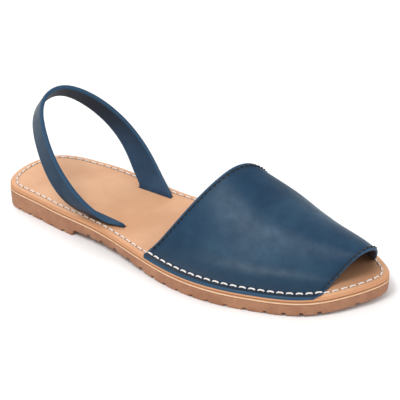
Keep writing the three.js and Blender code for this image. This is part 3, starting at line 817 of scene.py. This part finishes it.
def strap_sections():
    """Rows of upper edge, lower edge and half thickness towards the outer face."""
    columns = [natural(STRAP_ROWS[:, 0], STRAP_ROWS[:, k]) for k in range(1, 7)]
    at = np.linspace(0.05, 0.95, 160)
    along, across, up, back, over, down = (f(at) for f in columns)
    x = along * LENGTH
    upper = np.stack([x, across * HEEL, insole_top(x / LENGTH) + up * STRAP_RISE], -1)
    lower = upper + np.stack([back, over, down], -1) * STRAP_WIDTH
    face = unit(np.cross(upper - lower, np.gradient(upper + lower, axis=0))) * STRAP / 2
    loop = np.stack([upper, lower, face], 1)

    def board_middle(at):
        return rubber_top(at) + GAP + MIDSOLE / 2

    ends = []
    for (front, rear, _, out), folds in zip(SLITS, (OUTER_FOLD, INNER_FOLD)):
        def section(height, shift, facing):
            """One row at the slit: its two ends at a height, moved outward, and the way it faces."""
            rows = []
            for place in (front, rear):
                moved = place + out * shift
                rows.append((*moved, float(height(moved[0] / LENGTH))))
            return np.array([*rows, facing])

        def facing(level, upright):
            return np.array([out[0] * level, out[1] * level, upright])

        # The tab under the insole, its turn up into the slit, and the fold over the slit's lip
        rows = [
            section(board_middle, -TAB, facing(0, -MIDSOLE / 2)),
            section(board_middle, 0, facing(STRAP / 2, -MIDSOLE / 2)),
        ]
        for lift, shift, turn in folds:
            angle = math.radians(turn)
            rows.append(section(
                lambda at, lift=lift: insole_top(at) + lift * STRAP,
                shift * STRAP,
                facing(STRAP / 2 * math.cos(angle), -STRAP / 2 * math.sin(angle)),
            ))
        ends.append(np.array(rows))
    outer_end, inner_end = ends[0], ends[1][::-1]

    def fill(rows):
        """Fills in the bend over a slit's lip and rounds it off."""
        run = run_along(rows[:, :2].mean(1))
        dense = np.linspace(0, run[-1], FOLD_ROWS)
        flat = rows.reshape(len(rows), -1)
        even = np.stack([np.interp(dense, run, flat[:, k]) for k in range(flat.shape[1])], -1)
        for _ in range(FOLD_PASSES):
            even[1:-1] = (even[:-2] + 2 * even[1:-1] + even[2:]) / 4
        return even.reshape(-1, 3, 3)

    first = fill(np.concatenate([outer_end[1:], loop[:FOLD_REACH]]))
    last = fill(np.concatenate([loop[-FOLD_REACH:], inner_end[:-1]]))
    return np.concatenate([outer_end[:1], first, loop[FOLD_REACH:-FOLD_REACH], last, inner_end[-1:]])


def heel_strap():
    rows = strap_sections()
    # Profile: share of the way to an edge, distance from the edge, and share of the half thickness
    profile = []
    for side in (1, -1):
        across_face = np.linspace(-1, 1, FACE_POINTS) * side
        profile += [(share, 1.3, side * (1.0 + 0.03 * (1 - share * share))) for share in across_face]
        profile += [(side, back_off, side * lift) for back_off, lift in STRAP_EDGE]
    upper_edge = slice(FACE_POINTS, FACE_POINTS + len(STRAP_EDGE))
    lower_edge = slice(len(profile) - len(STRAP_EDGE), len(profile))
    centre = (rows[:, 0] + rows[:, 1]) / 2
    across = rows[:, 0] - rows[:, 1]
    width = np.linalg.norm(across, axis=1, keepdims=True)
    across = across / width
    points = []
    edge_mark = []
    for share, back_off, lift in profile:
        reach = (width / 2 - back_off) * share
        points.append(centre + across * reach + rows[:, 2] * lift)
        edge_mark.append(np.abs(width[:, 0] / 2 - np.abs(reach[:, 0])))
    grid = np.stack(points, 1)
    count, size = len(profile), len(rows)
    faces, ids = [], []
    kinds = [0] * FACE_POINTS + [1] * len(STRAP_EDGE) + [2] * FACE_POINTS + [1] * len(STRAP_EDGE)
    for i in range(size - 1):
        for j in range(count):
            n = (j + 1) % count
            faces.append((i * count + j, i * count + n, (i + 1) * count + n, (i + 1) * count + j))
            ids.append(kinds[j] if kinds[j] == kinds[n] else 1)
    faces.append(tuple(range(count))[::-1])
    faces.append(tuple((size - 1) * count + j for j in range(count)))
    ids += [1, 1]
    rim = np.stack(edge_mark, 1).ravel()
    # Painted shade: the lower edge and the outer face beside it are darkened where they hang close over the
    # sole by the outer slit
    clear = grid[:, :, 2] - insole_top(grid[:, :, 0] / LENGTH)
    low_middle = clear[:, lower_edge.start + len(STRAP_EDGE) // 2]
    dark = (1 - smooth(low_middle, 8.5, 14.0)) * smooth(low_middle, -1.0, 0.8) * (np.arange(size) < size / 2)
    under = np.zeros((size, count))
    under[:, lower_edge] = 0.95
    under[:, 0:3] = 0.95, 0.8, 0.25
    # Painted shade also darkens the hollow of the fold behind that slit
    mouth = 1 - smooth(clear, 2.0, 6.5)
    mouth *= (1 - smooth(grid[:, :, 0], 0.34 * LENGTH, 0.38 * LENGTH)) * (np.arange(size) < size / 4)[:, None]
    mouth[:, upper_edge.start : lower_edge.start] = 0
    # The rim mark stays above the seam's inset, because the strap has no seam
    marks = {
        "rim": np.where(rim < 1.0, 2.4, rim + 2.2),
        "bend": np.full(len(rim), 3.0),
        "hem": np.full(len(rim), 12.0),
        "under": np.maximum(under * dark[:, None], 0.95 * mouth).ravel(),
    }
    points, skins = grid.reshape(-1, 3), [BLUE, BLUE_EDGE, STRAP_BACK]
    return new_piece("heel_strap_leather", points, faces, "heel_strap", skins, ids, marks)


# Stitches
def stitch(points, faces, middle, along, up, length, radius, sink):
    """Adds one stitch: a twisted thread whose ends dive into the leather."""
    base, steps, sides = len(points), 10, 8
    side = np.cross(up, along)
    for k in range(steps + 1):
        u = k / steps
        rise = radius * (1.05 * math.sin(math.pi * u) ** 0.55) - sink
        centre = middle + along * (u - 0.5) * length + up * rise
        taper = 0.72 + 0.28 * math.sin(math.pi * u) ** 0.5
        for s in range(sides):
            angle = 2 * math.pi * s / sides
            ply = 1 + 0.12 * math.cos(2 * (angle - 4.4 * u))
            r = radius * taper * ply
            points.append(centre + side * math.cos(angle) * r + up * math.sin(angle) * r * 0.85)
    for k in range(steps):
        for s in range(sides):
            n = (s + 1) % sides
            a = base + k * sides
            faces.append((a + s, a + n, a + sides + n, a + sides + s))
    faces.append(tuple(base + s for s in range(sides))[::-1])
    faces.append(tuple(base + steps * sides + s for s in range(sides)))


def stitch_row(name, path, up, size, thread_material, shift=0.0):
    """A row of stitches on a path, shifted along it by a share of the pitch."""
    pitch, length, radius, sink = size
    path, up = np.asarray(path, float), np.asarray(up, float)
    run = run_along(path)
    count = max(1, int(round(run[-1] / pitch)))
    step = run[-1] / count

    def at_run(values, d):
        return np.array([np.interp(d, run, values[:, c]) for c in range(3)])

    points, faces = [], []
    for k in range(count):
        d = min((k + 0.5 + shift) * step, run[-1] - length / 2)
        here, rear, front = (at_run(path, d + off) for off in (0.0, -length / 3, length / 3))
        lift = unit(at_run(up, d))
        along = unit(front - rear)
        lift = unit(lift - along * float(lift @ along))
        stitch(points, faces, here, along, lift, length * step / pitch, radius, sink)
    return new_piece(name, np.array(points), faces, None, [thread_material])


def seams():
    """The rows of stitches, and the holes between those on the bare insole."""
    top = insole_top(RING_AT)
    line = ring(SEAM_INSET, top - 0.12)
    count = len(RING)
    side = np.where(np.arange(count) < len(AT), -1, 1)
    covered = np.zeros(count, bool)
    for s in (-1, 1):
        low, high = FOOT[s][0] * LENGTH, flange_x(s, 1, SEAM_INSET * FLANGE_SCALE[s])
        covered |= (side == s) & (line[:, 0] > low) & (line[:, 0] < high)
    upright = np.tile([0.0, 0.0, 1.0], (count, 1))
    # Bare stretches of the insole: round the heel, and round the toe
    start = int(np.argmax(covered))
    order = (np.arange(count) + start) % count
    flags = covered[order]
    runs, k = [], 0
    while k < count:
        m = k
        while m + 1 < count and flags[m + 1] == flags[k]:
            m += 1
        runs.append((flags[k], order[k : m + 1]))
        k = m + 1
    for number, (on_flange, rows) in enumerate(runs):
        if not on_flange:
            rows = np.concatenate([[(rows[0] - 1) % count], rows, [(rows[-1] + 1) % count]])
            path, up = line[rows], upright[rows]
            stitch_row(f"insole_seam_{number}", path, up, INSOLE_STITCH, INSOLE_THREAD)
            stitch_row(f"needle_holes_{number}", path, up, HOLE, NEEDLE_HOLE, 0.5)
    seam = [inset for inset, _ in FLANGE].index(SEAM_INSET)
    for number, column in enumerate((seam, VAMP_GRID.shape[1] - 1 - seam)):
        path, up = VAMP_GRID[:, column], VAMP_NORMAL[:, column] * 0.3 + np.array([0, 0, 0.7])
        stitch_row(f"flange_seam_{number}", path, up, FLANGE_STITCH, WHITE_THREAD)
    # Fine seam beside the vamp's rear and front edges
    first, final = len(FLANGE) + 1, VAMP_GRID.shape[1] - len(FLANGE) - 1
    for number, grid, normals in ((0, VAMP_GRID, VAMP_NORMAL), (1, VAMP_GRID[::-1], VAMP_NORMAL[::-1])):
        path, ups = [], []
        for column in range(first, final):
            rows = grid[:, column]
            run = run_along(rows)
            path.append([np.interp(EDGE_SEAM_INSET, run, rows[:, c]) for c in range(3)])
            ups.append(normals[2, column])
        stitch_row(f"vamp_edge_seam_{number}", path, ups, EDGE_STITCH, BLUE_THREAD)


outsole()
midsole()
insole()
vamp()
heel_strap()
seams()


# Floor, light and camera. Places are in metres here.
LIGHTS = [
    # name, place, target, size, power
    ("key", (-0.05, -0.66, 1.04), (0.05, -0.01, 0.03), 0.55, 8.0),
    ("fill", (1.0, 0.15, 0.6), (0.0, 0.0, 0.03), 0.9, 2.5),
    ("back", (-0.9, 0.6, 0.9), (0.0, 0.0, 0.03), 0.9, 5.5),
]
EYE, AIM = (0.4884, -0.7632, 0.5079), (-0.0036, 0.0207, 0.020)
# Lens as the number of pixels that stand for its focal length, in a frame 400 pixels wide
FOCAL_PIXELS, FRAME_PIXELS, SENSOR = 1787, 400, 36


def floor():
    mesh = bpy.data.meshes.new("floor")
    far = 6.0
    mesh.from_pydata([(-far, -far, 0), (far, -far, 0), (far, far, 0), (-far, far, 0)], [], [(0, 1, 2, 3)])
    made = material("floor_paper", (0.94, 0.945, 0.95), 0.9)
    n = Nodes(made)
    n.wire(Base_Color=n.mix(n.noise(3, 2.0), (0.94, 0.945, 0.95), (0.93, 0.935, 0.94)))
    mesh.materials.append(made)
    piece = bpy.data.objects.new("floor", mesh)
    bpy.context.scene.collection.objects.link(piece)


def put(name, data, place, target):
    """Sets a lamp or the camera in its place, turned to a point."""
    thing = bpy.data.objects.new(name, data)
    thing.location = place
    thing.rotation_euler = (Vector(target) - thing.location).to_track_quat("-Z", "Y").to_euler()
    bpy.context.scene.collection.objects.link(thing)
    return thing


floor()
for name, place, target, size, power in LIGHTS:
    light = bpy.data.lights.new(name, "AREA")
    light.shape, light.size, light.energy = "DISK", size, power
    put(name, light, place, target)

world = bpy.data.worlds.new("studio")
world.use_nodes = True
world.node_tree.nodes["Background"].inputs["Color"].default_value = (1.0, 1.0, 1.0, 1)
world.node_tree.nodes["Background"].inputs["Strength"].default_value = 0.66
bpy.context.scene.world = world
bpy.context.scene.view_settings.view_transform = "Standard"

camera = bpy.data.cameras.new("camera")
camera.sensor_width = SENSOR
camera.lens = FOCAL_PIXELS / FRAME_PIXELS * SENSOR
camera.clip_start, camera.clip_end = 0.05, 20
bpy.context.scene.camera = put("camera", camera, EYE, AIM)
